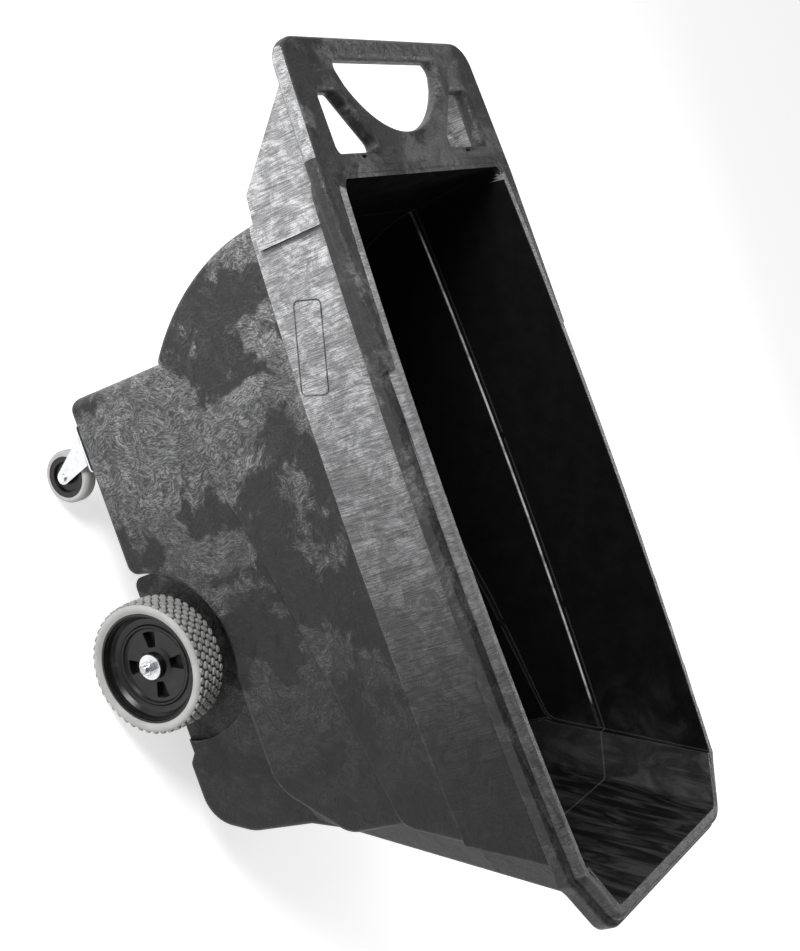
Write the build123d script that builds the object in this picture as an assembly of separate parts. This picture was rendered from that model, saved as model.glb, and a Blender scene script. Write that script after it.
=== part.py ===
"""Plastic tilt cart (a four-wheeled dumping barrow): one moulded tub with a handle frame,
two large wheels on a fixed axle and two swivel casters under the heel.

Axes: +X runs from the handle to the dumping lip, +Y to the left, +Z up, floor at Z = 0.
While a piece is drawn, X is counted from the inner rear corner of the rim; place() then
centres the finished cart over its origin.
"""
from build123d import *
import math
import os

# ---------------------------------------------------------------- driving sizes
# tub: lengths along X, widths as half-widths, heights counted down from the rim
LOAD_LENGTH = 1311.0        # inside length at the rim, rear corner to lip
RIM_HEIGHT = 847.0          # rim above the floor
LONG = LOAD_LENGTH / 1311.0  # what every place along the tub follows
TALL = RIM_HEIGHT / 847.0    # what every height of the tub follows
WALL = 6.0                  # moulded wall
REAR_HALF = 304.0           # bead centre line: half-width at the rear corner
MID_HALF = 338.0            # ... where the sides bow out most
STEP_HALF = 303.0           # ... just after that step
LIP_HALF = 245.0            # ... at the lip's corners
MID_X = 658.0 * LONG        # where the sides bow out most
MOUTH_RUN = 89.0            # length of the tapering mouth, from that step to the lip
REAR_CORNER_R = 48.0
LIP_CORNER_R = 34.0
BEAD_R = 13.0               # rounded bead on top of the rim
FLANGE_OUT = 24.0           # rim flange, out from the bead's centre line
FLANGE_TOP = 15.0           # flange top face, below the rim
FLANGE_DEPTH = 45.0         # flange lower edge, below the rim
CREASE_DEPTH = 205.0 * TALL  # fold line round the upper body
CREASE_STEP = 3.5           # how far the band above it stands out
FRONT_SLOPE = 2.05 * TALL / LONG  # rise over run of the dumping face
STEP_SLOPE = 2.26 * TALL / LONG  # ... and of the step behind the mouth
# profile of the wide upper body (X, depth below the rim)
HEEL_TOP = (8.0 * LONG, 194.0 * TALL)  # where the straight rear wall turns into the big heel curve
HEEL_MID = (62.0 * LONG, 379.0 * TALL)
HEEL_END = (161.0 * LONG, 492.0 * TALL)
SHOULDER = [(315.0 * LONG, 474.0 * TALL), (527.0 * LONG, 414.0 * TALL), (808.0 * LONG, 359.0 * TALL)]
SHOULDER_END = 322.0 * TALL  # depth of the shoulder at the step behind the mouth
SHOULDER_R = 300.0          # how gently the shoulder bends
SHOULDER_TAPER = 14.0       # upper body's draft, rim to shoulder
# narrow lower body
LOW_HALF = 305.0
LOW_REAR_X = 165.0 * LONG
LOW_CORNER_R = 25.0
WELL_GAP = 43.0             # room round the tyre in its well
SILL_DROP = 12.0            # lower edge in front of the wheel, below the top of its well
SILL_NOSE = (112.0, 122.0)  # run and rise of the rounded end of the sill
SOLE_BAND = 28.0            # how far the mouth's wall runs down over the foot
BODY_EDGE_R = 11.0          # rounding of the bodies' outer edges
BEAD_ROOT = 28.0            # how deep the bead is rooted in the flange
FLANGE_R = 10.0             # rounding of the rim flange
RIM_LAP = 2.0               # how far the flange reaches into the wall behind the bead
# keel between the wheels, and the foot that the cart tips over on
KEEL_HALF = 247.0
KEEL_REAR_X = 520.0 * LONG
KEEL_Z = 78.0               # its underside, above the floor
KEEL_RECESS = 235.0         # inner wall of the wheel wells
MOUTH_Z = 342.0 * TALL      # where the mouth runs into the keel and foot
FOOT_X = 872.0 * LONG
FOOT_Z = 63.0               # its sole, above the floor
FOOT_FLAT = 90.0            # length of the foot's flat sole
FOOT_CHIN = (28.0, 90.0)    # run and rise of the slope that the cart tips over on
FOOT_NOSE_R = 75.0          # its rounded ends
FOOT_HEIGHT = 225.0 * TALL  # top of the foot, above its sole
FOOT_PROUD = 12.0           # foot's nose in front of the dumping face
# handle frame
HANDLE_LENGTH = 252.0       # rear edge behind the rim's inner corner
HANDLE_THICK = 32.0
HANDLE_EDGE_R = 12.0        # rounding of its bars
HANDLE_HALF = 334.0         # half-width at its rear edge
HANDLE_ROOT_HALF = 352.0    # half-width beside the rim's rear corner
HANDLE_MERGE_X = 330.0 * LONG  # where its side bars run out into the flange
GRIP_WIDTH = 41.0
GRIP_HOLE = 390.0           # width of the D hole at the grip
GRIP_HOLE_DEPTH = 133.0
GRIP_HOLE_CORNER = (46.0, 23.0)  # where its straight ends turn into the arc
ARM_WIDTH = 40.0
SIDE_BAR = 66.0
CROSS_BAR = 36.0
HANDLE_CORNER_R = 55.0
TIE_SLOT = (18.0, 7.0)      # slots in the cross bar for a tie or label
TIE_SLOT_GAP = 6.5          # web between a slot and the corner hole
TIE_SLOT_Y = 194.0
GUSSET_THICK = 22.0
GUSSET_OUT = 14.0           # its outer face, outside the bead's rear half-width
GUSSET_DEPTH = 184.0 * TALL
# main wheels
TYRE_D = 254.0
TYRE_WIDTH = 75.0
WHEEL_Y = 309.5             # wheel's centre plane
WHEEL_X = 682.0 * LONG
AXLE_D = 16.0
HUB_RIM_R = 105.0
HUB_SEAT_R = 98.0
HUB_BOSS_R = 26.0
HUB_BOSS_OUT = 20.0         # boss outer face from the wheel's centre plane
HUB_BOSS_IN = 30.0
HUB_WEB_BACK = -14.0        # web's inner face from the wheel's centre plane
HUB_POCKET_R = (33.0, 64.0)  # radial reach of the four pockets in its outer face
HUB_SKIN = 3.0              # what is left behind a pocket
BUSH_WALL = 3.0
BUSH_LENGTH = 20.0
WASHER_D = 48.0
WASHER_T = 3.0
NUT_AF = 24.0
NUT_T = 13.0
AXLE_PROUD = 8.0            # axle beyond the nut
AXLE_SLOT = 36.0            # width of the axle's channel in the keel
CLAMP_Y = 165.0
CLAMP_LENGTH = 60.0
CLAMP_FLANGE = 34.0         # flange beyond the channel on each side
CLAMP_PLATE = 5.0
SCREW_D = 8.0
# casters
CASTER_D = 102.0
CASTER_HEAD = 28.0          # swivel head: top of the wheel to the deck
CASTER_X = 258.0 * LONG     # kingpin
CASTER_Y = 271.0
CASTER_TRAIL = 35.0
CASTER_TYRE_W = 32.0
CASTER_HUB_R = 40.0
CASTER_AXLE_D = 10.0
KINGPIN_D = 12.0
PLATE = (92.0, 64.0)
PLATE_T = 3.5
RACE_R = 25.0
BALL_D = 6.0
FORK_T = 3.0
FORK_GAP = 42.0             # inside width of the fork
BOLT_D = 8.0
BOLT_PITCH = (72.0, 36.0)
WASHER_SMALL_R = 8.5
# fits
RUN = 0.06                  # radial clearance of everything that turns on a pin
SEAT = 0.05                 # radial clearance of fixed pieces on a shaft or bolt
GAP = 0.5                   # axial clearance between fixed and turning pieces

# ---------------------------------------------------------------- derived places
AXLE_Z = TYRE_D / 2
WELL_R = AXLE_Z + WELL_GAP
SILL_Z = AXLE_Z + WELL_R - SILL_DROP
DECK_Z = CASTER_D + CASTER_HEAD
RIM_Z = RIM_HEIGHT
MOUTH_X = LOAD_LENGTH - MOUTH_RUN
STEP_END_X = MOUTH_X - (SHOULDER_END - 8) / STEP_SLOPE
BEAD_REAR = -BEAD_R
BEAD_FRONT = LOAD_LENGTH + BEAD_R
CART_REAR = -HANDLE_LENGTH
CART_FRONT = BEAD_FRONT + FLANGE_OUT
ORIGIN_X = (CART_REAR + CART_FRONT) / 2
SCREW_X = AXLE_SLOT / 2 + CLAMP_FLANGE / 2
CASTER_WHEEL_X = CASTER_X + CASTER_TRAIL
CASTER_AXLE_Z = CASTER_D / 2
HUB_OUT_Y = WHEEL_Y + HUB_BOSS_OUT
HUB_IN_Y = WHEEL_Y - HUB_BOSS_IN

nodes = {}


# ---------------------------------------------------------------- helpers
def rim_z(depth):
    """Height above the floor of a place given as a depth below the rim."""
    return RIM_Z - depth


def slab(profile, y0, y1):
    """Solid between y0 and y1 with an outline drawn in X and Z."""
    face = Plane.XZ * profile
    return extrude(Pos(0, y0, 0) * face, amount=y1 - y0, dir=(0, 1, 0))


def cyl_y(x, y0, y1, z, r):
    """Round bar along Y."""
    return Pos(x, (y0 + y1) / 2, z) * Rot(90, 0, 0) * Cylinder(r, abs(y1 - y0))


def cyl_z(x, y, z0, z1, r):
    """Round bar along Z."""
    return Pos(x, y, (z0 + z1) / 2) * Cylinder(r, z1 - z0)


def hex_z(x, y, z0, z1, flats):
    """Hexagonal bar along Z."""
    face = Pos(x, y, z0) * RegularPolygon(flats / 2, 6, major_radius=False)
    return extrude(face, amount=z1 - z0, dir=(0, 0, 1))


def round_corners(face, points, radius):
    """Rounds the corners of a flat outline that lie at the given places."""
    picked = [v for v in face.vertices()
              if any(abs(v.X - p[0]) + abs(v.Y - p[1]) < 0.5 for p in points)]
    return fillet(picked, radius)


def add(name, shape):
    """Keeps a finished piece under its node name."""
    nodes[name] = shape


# ---------------------------------------------------------------- tub outlines
def side_arc(d, x_end):
    """Half-width of the bowed side at x_end, on a circle through its rear and middle."""
    sag = MID_HALF - REAR_HALF
    span = MID_X - BEAD_REAR
    radius = (span * span + sag * sag) / (2 * sag)
    return MID_HALF - radius + math.sqrt(radius * radius - (x_end - MID_X) ** 2) + d


def wide_plan(d):
    """Upper body in plan, d outside the bead's centre line, open-ended past the mouth."""
    rear, front = BEAD_REAR - d, LOAD_LENGTH
    a, b = (rear, REAR_HALF + d), (front, side_arc(d, front))
    left = ThreePointArc(a, (MID_X, MID_HALF + d), b)
    right = ThreePointArc((b[0], -b[1]), (MID_X, -MID_HALF - d), (a[0], -a[1]))
    face = make_face([left, Line(b, (b[0], -b[1])), right, Line((a[0], -a[1]), a)])
    return round_corners(face, [a, (a[0], -a[1])], REAR_CORNER_R + d)


def rim_plan(d):
    """The rim in plan, d outside the bead's centre line."""
    a = (BEAD_REAR - d, REAR_HALF + d)
    b = (MOUTH_X + 0.45 * d, side_arc(d, MOUTH_X + 0.45 * d))
    c = (MOUTH_X + 14 + 0.65 * d, STEP_HALF + 0.75 * d)
    e = (BEAD_FRONT + d, LIP_HALF + 0.55 * d)
    low = [(x, -y) for x, y in (a, b, c, e)]
    edges = [ThreePointArc(a, (MID_X, MID_HALF + d), b), Line(b, c), Line(c, e),
             Line(e, low[3]), Line(low[3], low[2]), Line(low[2], low[1]),
             ThreePointArc(low[1], (MID_X, -MID_HALF - d), low[0]), Line(low[0], a)]
    face = make_face(edges)
    face = round_corners(face, [a, low[0]], REAR_CORNER_R + d)
    face = round_corners(face, [e, low[3]], LIP_CORNER_R + d)
    return round_corners(face, [b, low[1]], 7.0)


def wide_profile():
    """Side view of the wide upper body: rear wall, big heel curve, rising shoulder, face."""
    rear_top = (BEAD_REAR + 8, RIM_Z + 60)
    heel = [(x, rim_z(z)) for x, z in (HEEL_TOP, HEEL_MID, HEEL_END)]
    sh = [(x, rim_z(z)) for x, z in SHOULDER] + [(STEP_END_X, rim_z(SHOULDER_END))]
    mouth_top = (STEP_END_X + (SHOULDER_END + 60) / STEP_SLOPE, RIM_Z + 60)
    face = make_face([
        Line(rear_top, heel[0]), ThreePointArc(*heel), Polyline(heel[2], *sh),
        Line(sh[-1], mouth_top), Line(mouth_top, rear_top)])
    face = round_corners(face, sh[:-1], SHOULDER_R)
    return round_corners(face, [sh[-1]], 45.0)


def low_profile():
    """Side view of the lower body: caster deck, wheel well, sill and rounded nose."""
    top = RIM_Z - 100
    nose = STEP_END_X - 6
    pts = [(LOW_REAR_X, top), (LOW_REAR_X, DECK_Z), (WHEEL_X, DECK_Z), (WHEEL_X, SILL_Z),
           (nose - SILL_NOSE[0], SILL_Z), (nose, SILL_Z + SILL_NOSE[1]),
           (STEP_END_X - 2, rim_z(SHOULDER_END)),
           (STEP_END_X + (SHOULDER_END - 100) / STEP_SLOPE - 2, top)]
    face = make_face(Polyline(*pts, close=True))
    face = round_corners(face, [pts[4]], 90.0)
    face = round_corners(face, [pts[5]], 60.0)
    face -= Pos(WHEEL_X, AXLE_Z) * Circle(WELL_R)
    deck_end = WHEEL_X - math.sqrt(WELL_R ** 2 - (DECK_Z - AXLE_Z) ** 2)
    face = round_corners(face, [pts[1]], 20.0)
    return round_corners(face, [(deck_end, DECK_Z)], 22.0)


def nose_x(depth):
    """The dumping face, at a depth below the rim."""
    return LOAD_LENGTH - depth / FRONT_SLOPE + WALL * 1.1


def keel_profile():
    """Side view of the keel and the foot that it ends in."""
    k, f = KEEL_Z, FOOT_Z
    top = MOUTH_Z + 3 * WALL
    sole = (FOOT_X + 18 + FOOT_FLAT + FOOT_CHIN[0], f)
    tip = (nose_x(RIM_Z - f - FOOT_HEIGHT) + FOOT_PROUD, f + FOOT_HEIGHT)
    chin = (tip[0] - 10, f + FOOT_CHIN[1])
    face = make_face(Polyline(
        (KEEL_REAR_X, top), (KEEL_REAR_X, k), (FOOT_X, k), (FOOT_X + 18, f), sole, chin, tip,
        (nose_x(RIM_Z - top), top), close=True))
    face = round_corners(face, [sole], FOOT_NOSE_R)
    face = round_corners(face, [chin], FOOT_NOSE_R)
    face = round_corners(face, [(KEEL_REAR_X, k)], 20.0)
    return round_corners(face, [(FOOT_X + 18, f)], 16.0)


def soften(body, half):
    """Rounds the outline of a body's two flat sides."""
    rim = [e for f in body.faces() if abs(abs(f.normal_at().Y) - 1) < 1e-6
           and abs(abs(f.center().Y) - half) < 0.01 for e in f.edges()
           if e.center().Z < RIM_Z - 150]
    return fillet(rim, BODY_EDGE_R)


# ---------------------------------------------------------------- tub volumes
def upper_body(inset):
    """Wide upper body, or the hollow inside it when inset is the wall."""
    fold = CREASE_DEPTH + 1.5 * inset
    levels = [(0.0, -4.0), (fold, -5.0), (fold + 3, -5.0 - CREASE_STEP),
              (HEEL_END[1] + 30, -5.0 - SHOULDER_TAPER)]
    planes = [Pos(0, 0, rim_z(z)) * wide_plan(d - inset) for z, d in levels]
    draft = loft(planes, ruled=True)
    view = offset(wide_profile(), -inset) if inset else wide_profile()
    body = draft & slab(view, -500, 500)
    if inset:
        return body
    low = rim_z(CREASE_DEPTH + 9)
    flanks = [f for f in body.faces() if abs(f.normal_at(f.center()).Y) > 0.8 and f.center().Z < low]
    outline = [e for f in flanks for e in f.edges()
               if e.center().Z < low and e.bounding_box().min.Z < low - 5]
    return fillet(outline, BODY_EDGE_R)


def lower_body(inset):
    """Narrow lower body, rounded along its outline."""
    half = LOW_HALF - inset
    rear = LOW_REAR_X + inset
    front = STEP_END_X + 140
    plan = Pos((rear + front) / 2, 0) * Rectangle(front - rear, 2 * half)
    plan = round_corners(plan, [(rear, half), (rear, -half)], LOW_CORNER_R - inset)
    view = offset(low_profile(), -inset) if inset else low_profile()
    body = extrude(Pos(0, 0, DECK_Z - 10) * plan, amount=RIM_Z - DECK_Z)
    body = body & slab(view, -500, 500)
    if not inset:
        body = soften(body, half)
    return body


def mouth_body(inset):
    """Mouth: the tapering front from the rim down to the foot, leaning with the face."""
    depth = RIM_Z - MOUTH_Z - WALL if inset else RIM_Z - MOUTH_Z + SOLE_BAND
    a = (MOUTH_X - 250, STEP_HALF - 4 - inset)
    b = (MOUTH_X, STEP_HALF - 4 - inset)
    c = (nose_x(0) - inset * 1.11, LIP_HALF + 0.5 - inset)
    plan = make_face(Polyline(a, b, c, (c[0], -c[1]), (b[0], -b[1]), (a[0], -a[1]), close=True))
    plan = round_corners(plan, [c, (c[0], -c[1])], 20.0)
    lean = Vector(-depth / FRONT_SLOPE, 0, -depth)
    return extrude(Pos(0, 0, RIM_Z) * plan, amount=lean.length, dir=lean)


def keel_body(inset):
    """Keel and foot, with the flat-walled wheel wells cut into its sides."""
    half = KEEL_HALF - inset
    view = offset(keel_profile(), -inset) if inset else keel_profile()
    body = slab(view, -half, half)
    if not inset:
        body = soften(body, half)
    for s in (1, -1):
        body -= cyl_y(WHEEL_X, s * (KEEL_RECESS - inset), s * 400, AXLE_Z, WELL_R + inset)
    return body


def axle_channel(margin):
    """Open channel across the keel that takes the axle; grown by margin for its walls."""
    half = AXLE_SLOT / 2 + margin
    top = AXLE_Z + AXLE_D / 2 + 4 + margin
    return Pos(WHEEL_X, 0, (top + KEEL_Z - 20) / 2) * Box(2 * half, 620, top - KEEL_Z + 20)


def clamp_screw_places():
    """Where the axle clamps' screws go into the keel."""
    return [(WHEEL_X + i * SCREW_X, s * (CLAMP_Y + j * CLAMP_LENGTH * 0.28))
            for s in (1, -1) for i in (1, -1) for j in (1, -1)]


def caster_bolt_places(s):
    """Where one caster's plate is bolted to the deck."""
    return [(CASTER_X + i * BOLT_PITCH[0] / 2, s * CASTER_Y + j * BOLT_PITCH[1] / 2)
            for i in (1, -1) for j in (1, -1)]


def rim_flange():
    """Downturned flange round the rim, before the opening is cut."""
    depth = FLANGE_DEPTH - FLANGE_TOP
    flange = extrude(Pos(0, 0, rim_z(FLANGE_DEPTH)) * rim_plan(FLANGE_OUT), amount=depth)
    top = flange.faces().sort_by(Axis.Z)[-1]
    return fillet(top.edges(), FLANGE_R)


def rim_bead():
    """Rounded bead that crowns the rim all the way round."""
    ring = rim_plan(BEAD_R) - rim_plan(-4 - WALL * 2 / 3)
    bead = extrude(Pos(0, 0, rim_z(BEAD_ROOT)) * ring, amount=BEAD_ROOT)
    top = bead.faces().sort_by(Axis.Z)[-1]
    return fillet(top.outer_wire().edges(), BEAD_R - 1)


def rim_mouth():
    """What is cut from the flange and handle to open the tub."""
    height = FLANGE_DEPTH + 21
    return extrude(Pos(0, 0, rim_z(FLANGE_DEPTH + 1)) * rim_plan(-BEAD_R - RIM_LAP), amount=height)


def handle_outline():
    """Handle frame in plan: grip, two side bars and a cross bar."""
    rear, root, merge = -HANDLE_LENGTH, 14.0, HANDLE_MERGE_X
    half = side_arc(FLANGE_OUT - 3, merge)
    pts = [(rear, HANDLE_HALF), (root, HANDLE_ROOT_HALF), (merge, half)]
    face = make_face(Polyline(*pts, *[(x, -y) for x, y in reversed(pts)], close=True))
    return round_corners(face, [pts[0], (pts[0][0], -pts[0][1])], HANDLE_CORNER_R)


def grip_hole():
    """D-shaped hole behind the grip, flat side to the hand."""
    x0 = -HANDLE_LENGTH + GRIP_WIDTH
    half = GRIP_HOLE / 2
    low = (x0 + GRIP_HOLE_CORNER[0], half - GRIP_HOLE_CORNER[1])
    edges = [Line((x0, -half), (x0, half)), Line((x0, half), low),
             ThreePointArc(low, (x0 + GRIP_HOLE_DEPTH, 0), (low[0], -low[1])),
             Line((low[0], -low[1]), (x0, -half))]
    return round_corners(make_face(edges), [(x0, half), (x0, -half)], 16.0)


def tie_slot_x():
    """Tie slots, just behind the bead."""
    return BEAD_REAR - BEAD_R - TIE_SLOT[1]


def tie_slots():
    """Both slots, right through the cross bar."""
    slot = Rot(0, 0, 90) * SlotOverall(*TIE_SLOT)
    return [extrude(Pos(tie_slot_x(), s * TIE_SLOT_Y, rim_z(100)) * slot, amount=200, dir=(0, 0, 1))
            for s in (1, -1)]


def corner_hole(s):
    """Triangular hole between a side bar, the arm beside the D hole and the cross bar."""
    x0 = -HANDLE_LENGTH + GRIP_WIDTH + GRIP_HOLE_CORNER[0] + 13
    x1 = tie_slot_x() - TIE_SLOT[1] / 2 - TIE_SLOT_GAP
    outer = HANDLE_HALF - SIDE_BAR + 2
    inner = GRIP_HOLE / 2 - GRIP_HOLE_CORNER[1] + ARM_WIDTH
    pts = [(x0, s * outer), (x1, s * outer), (x1, s * (inner - 90)), (x0, s * inner)]
    face = make_face(Polyline(*pts, close=True))
    return round_corners(face, pts, 13.0)


def handle():
    """Handle frame with rounded edges, flush with the top of the rim."""
    face = handle_outline() - grip_hole() - corner_hole(1) - corner_hole(-1)
    bar = extrude(Pos(0, 0, RIM_Z - HANDLE_THICK - 1) * face, amount=HANDLE_THICK)
    top = bar.faces().sort_by(Axis.Z)[-1]
    bottom = bar.faces().sort_by(Axis.Z)[0]
    edges = top.edges() + bottom.edges()
    bar = fillet([e for e in edges if e.center().X < -CROSS_BAR / 2 - 12], HANDLE_EDGE_R)
    return bar


def gusset(s):
    """Web under each side bar, from the handle's corner down the rear wall."""
    pts = [(-HANDLE_LENGTH + 60, rim_z(HANDLE_THICK - 4)), (-36, rim_z(GUSSET_DEPTH - 8)),
           (60, rim_z(GUSSET_DEPTH + 6)), (60, rim_z(HANDLE_THICK - 4))]
    face = make_face(Polyline(*pts, close=True))
    face = round_corners(face, [pts[1]], 14.0)
    out = REAR_HALF + GUSSET_OUT
    y0, y1 = sorted((s * (out - GUSSET_THICK), s * out))
    return slab(face, y0, y1)


def tub():
    """The whole moulding: bodies, rim, handle and gussets, hollowed by the wall."""
    rim = rim_flange() + handle() - rim_mouth()
    shell = upper_body(0) + lower_body(0) + keel_body(0) + mouth_body(0) + rim
    hollow = upper_body(WALL) + lower_body(WALL) + mouth_body(WALL)
    keel_hollow = keel_body(WALL) - axle_channel(WALL)
    for x, y in clamp_screw_places():
        keel_hollow -= cyl_z(x, y, KEEL_Z, KEEL_Z + 45, 11)
    shell = shell - hollow + rim_bead()
    shell = shell - keel_hollow - axle_channel(0)
    for s in (1, -1):
        shell += gusset(s) - upper_body(WALL / 2)
        shell -= cyl_y(WHEEL_X, s * KEEL_RECESS, s * 420, AXLE_Z, WELL_R)
        for x, y in caster_bolt_places(s):
            shell -= cyl_z(x, y, DECK_Z - 5, DECK_Z + WALL + 5, BOLT_D / 2 + 0.5)
    for x, y in clamp_screw_places():
        shell -= cyl_z(x, y, KEEL_Z - 5, KEEL_Z + 36, SCREW_D / 2 + SEAT)
    return shell - tie_slots()


def cut_box(x0, x1, z0, z1):
    """Wide box between two places along the cart and two heights."""
    return Pos((x0 + x1) / 2, 0, (z0 + z1) / 2) * Box(x1 - x0, 1500, z1 - z0)


def tub_nodes(whole):
    """The one moulding, parted by planes so that each piece's collision can follow its hollow."""
    far, low, high = LOAD_LENGTH + 500, -50, RIM_Z + 100
    frame_x = BEAD_REAR - FLANGE_OUT - 1
    heel_x = WHEEL_X - WELL_R - 2 * WALL
    arch_x = WHEEL_X + WELL_R + 2 * WALL
    fold = rim_z(CREASE_DEPTH)
    add("handle_frame", whole & cut_box(-far, frame_x, low, high))
    add("tub_upper", whole & cut_box(frame_x, far, fold, high))
    add("tub_heel", whole & cut_box(frame_x, heel_x, low, fold))
    add("tub_arches", whole & cut_box(heel_x, arch_x, low, fold))
    add("tub_nose", whole & cut_box(arch_x, far, low, fold))


# ---------------------------------------------------------------- axle and its clamps
def axle():
    """Fixed axle, chamfered at both ends."""
    half = HUB_OUT_Y + GAP + WASHER_T + NUT_T + AXLE_PROUD
    bar = cyl_y(WHEEL_X, -half, half, AXLE_Z, AXLE_D / 2)
    return chamfer(bar.edges().filter_by(GeomType.CIRCLE), 1.5)


def axle_clamp(s):
    """Block that fills the channel round the axle, with a screwed flange under the keel."""
    top = AXLE_Z + AXLE_D / 2 + 3.6
    block = Pos(WHEEL_X, s * CLAMP_Y, (top + KEEL_Z) / 2) * Box(AXLE_SLOT - 0.6, CLAMP_LENGTH, top - KEEL_Z)
    plate = Pos(WHEEL_X, s * CLAMP_Y, KEEL_Z - CLAMP_PLATE / 2) * Box(
        AXLE_SLOT + 2 * CLAMP_FLANGE, CLAMP_LENGTH, CLAMP_PLATE)
    plate = fillet(plate.edges().filter_by(Axis.Z), 6.0)
    body = block + plate - cyl_y(WHEEL_X, -400, 400, AXLE_Z, AXLE_D / 2 + SEAT)
    for x, y in clamp_screw_places():
        body -= cyl_z(x, y, KEEL_Z - 20, KEEL_Z + 1, SCREW_D / 2 + 0.3)
    return body


def clamp_screws():
    """Flanged hex screws through the clamp plates, as one set."""
    out = []
    for x, y in clamp_screw_places():
        under = KEEL_Z - CLAMP_PLATE
        screw = (cyl_z(x, y, under - 1.6, KEEL_Z + 30, SCREW_D / 2)
                 + cyl_z(x, y, under - 1.6, under, SCREW_D)
                 + hex_z(x, y, under - 7, under - 1.6, 13))
        out.append(screw)
    return Compound(children=out)


# ---------------------------------------------------------------- main wheels
def turned(points):
    """Ring turned about the wheel axis; points are (radius, distance along the axis)."""
    face = make_face(Polyline(*points, close=True))
    return revolve(face, Axis.Y)


def on_wheel(shape, s):
    """Puts a turned piece on the axle at one side, outer face outwards."""
    if s < 0:
        shape = mirror(shape, Plane.XZ)
    return Pos(WHEEL_X, s * WHEEL_Y, AXLE_Z) * shape


def tyre():
    """Semi-pneumatic tyre with rounded shoulders, seated between the hub's flanges."""
    r, half, seat = TYRE_D / 2, TYRE_WIDTH / 2, HUB_SEAT_R + SEAT
    lip = HUB_RIM_R + 0.3
    side_in = half - 4
    edges = [Line((seat, -side_in + 6), (lip, -side_in + 6)), Line((lip, -side_in + 6), (lip, -side_in)),
             ThreePointArc((lip, -side_in), (r - 11, -half), (r - 4, -half + 6)),
             ThreePointArc((r - 4, -half + 6), (r, 0), (r - 4, half - 6)),
             ThreePointArc((r - 4, half - 6), (r - 11, half), (lip, side_in)),
             Line((lip, side_in), (lip, side_in - 6)), Line((lip, side_in - 6), (seat, side_in - 6)),
             Line((seat, side_in - 6), (seat, -side_in + 6))]
    return revolve(make_face(edges), Axis.Y)


def hub():
    """Moulded hub: two flanges, dished web with a raised ring and four deep pockets, boss."""
    seat_half = TYRE_WIDTH / 2 - 4 - 6 + 0.05
    edge = seat_half + 5
    bore = AXLE_D / 2 + BUSH_WALL
    pts = [(bore, -HUB_BOSS_IN), (HUB_BOSS_R - 3, -HUB_BOSS_IN), (HUB_BOSS_R, HUB_WEB_BACK),
           (72, HUB_WEB_BACK), (80, -edge + 6), (HUB_SEAT_R - 4, -edge), (HUB_RIM_R, -edge),
           (HUB_RIM_R, -seat_half), (HUB_SEAT_R, -seat_half), (HUB_SEAT_R, seat_half),
           (HUB_RIM_R, seat_half), (HUB_RIM_R, edge), (HUB_RIM_R - 4, edge + 1),
           (100, edge - 2), (96, 18), (90, 11), (83, 8), (79, 8), (76, 10.5), (73, 10.5), (70, 6),
           (66, 4), (34, 4), (HUB_BOSS_R, 7), (HUB_BOSS_R - 1, HUB_BOSS_OUT), (bore, HUB_BOSS_OUT)]
    body = turned(pts)
    inner, outer = HUB_POCKET_R
    pocket = make_face([Line((inner, -8), (inner, 8)), Line((inner, 8), (outer - 2, 15)),
                        ThreePointArc((outer - 2, 15), (outer, 0), (outer - 2, -15)),
                        Line((outer - 2, -15), (inner, -8))])
    pocket = slab(fillet(pocket.vertices(), 3.0), HUB_WEB_BACK + HUB_SKIN, 20)
    for i in range(4):
        body -= Rot(0, 90 * i + 8, 0) * pocket
    return body


def bush(inner):
    """Flanged bush pressed into one end of the hub's bore."""
    r = AXLE_D / 2
    sleeve = turned([(r + RUN, 0), (r + BUSH_WALL - 0.02, 0), (r + BUSH_WALL - 0.02, BUSH_LENGTH), (r + RUN, BUSH_LENGTH)])
    return Pos(0, -HUB_BOSS_IN if inner else HUB_BOSS_OUT - BUSH_LENGTH, 0) * sleeve


def ring_y(s, y_near, y_far, r_in, r_out):
    """Washer or sleeve round the main axle, between two distances from the middle."""
    return (cyl_y(WHEEL_X, s * y_near, s * y_far, AXLE_Z, r_out)
            - cyl_y(WHEEL_X, s * (y_near - 1), s * (y_far + 1), AXLE_Z, r_in))


def axle_nut(s):
    """Hexagonal nut, chamfered on its outer face."""
    y0 = HUB_OUT_Y + GAP + WASHER_T
    blank = Rot(90, 0, 0) * extrude(RegularPolygon(NUT_AF / 2, 6, major_radius=False), amount=NUT_T / 2, both=True)
    body = Pos(WHEEL_X, s * (y0 + NUT_T / 2), AXLE_Z) * blank
    cone = Cone(NUT_AF / 2 + 14, NUT_AF / 2 - 0.5, 14.5)
    body &= Pos(WHEEL_X, s * (y0 + NUT_T - 7.25), AXLE_Z) * Rot(-90 * s, 0, 0) * cone
    return body - cyl_y(WHEEL_X, s * (y0 - 1), s * (y0 + NUT_T + 1), AXLE_Z, AXLE_D / 2 + SEAT)


def main_wheel(s, tag):
    """Everything on one end of the main axle."""
    add(f"wheel_tyre_{tag}", on_wheel(tyre(), s))
    add(f"wheel_hub_{tag}", on_wheel(hub(), s))
    add(f"wheel_bush_outer_{tag}", on_wheel(bush(False), s))
    add(f"wheel_bush_inner_{tag}", on_wheel(bush(True), s))
    r = AXLE_D / 2 + SEAT
    inner_face = HUB_IN_Y - GAP
    add(f"axle_spacer_{tag}", ring_y(s, KEEL_RECESS, inner_face - WASHER_T, r, AXLE_D / 2 + 4))
    add(f"axle_washer_inner_{tag}", ring_y(s, inner_face - WASHER_T, inner_face, r, WASHER_D / 2 - 6))
    out = HUB_OUT_Y + GAP
    add(f"axle_washer_outer_{tag}", ring_y(s, out, out + WASHER_T, r, WASHER_D / 2))
    add(f"axle_nut_{tag}", axle_nut(s))


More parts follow.
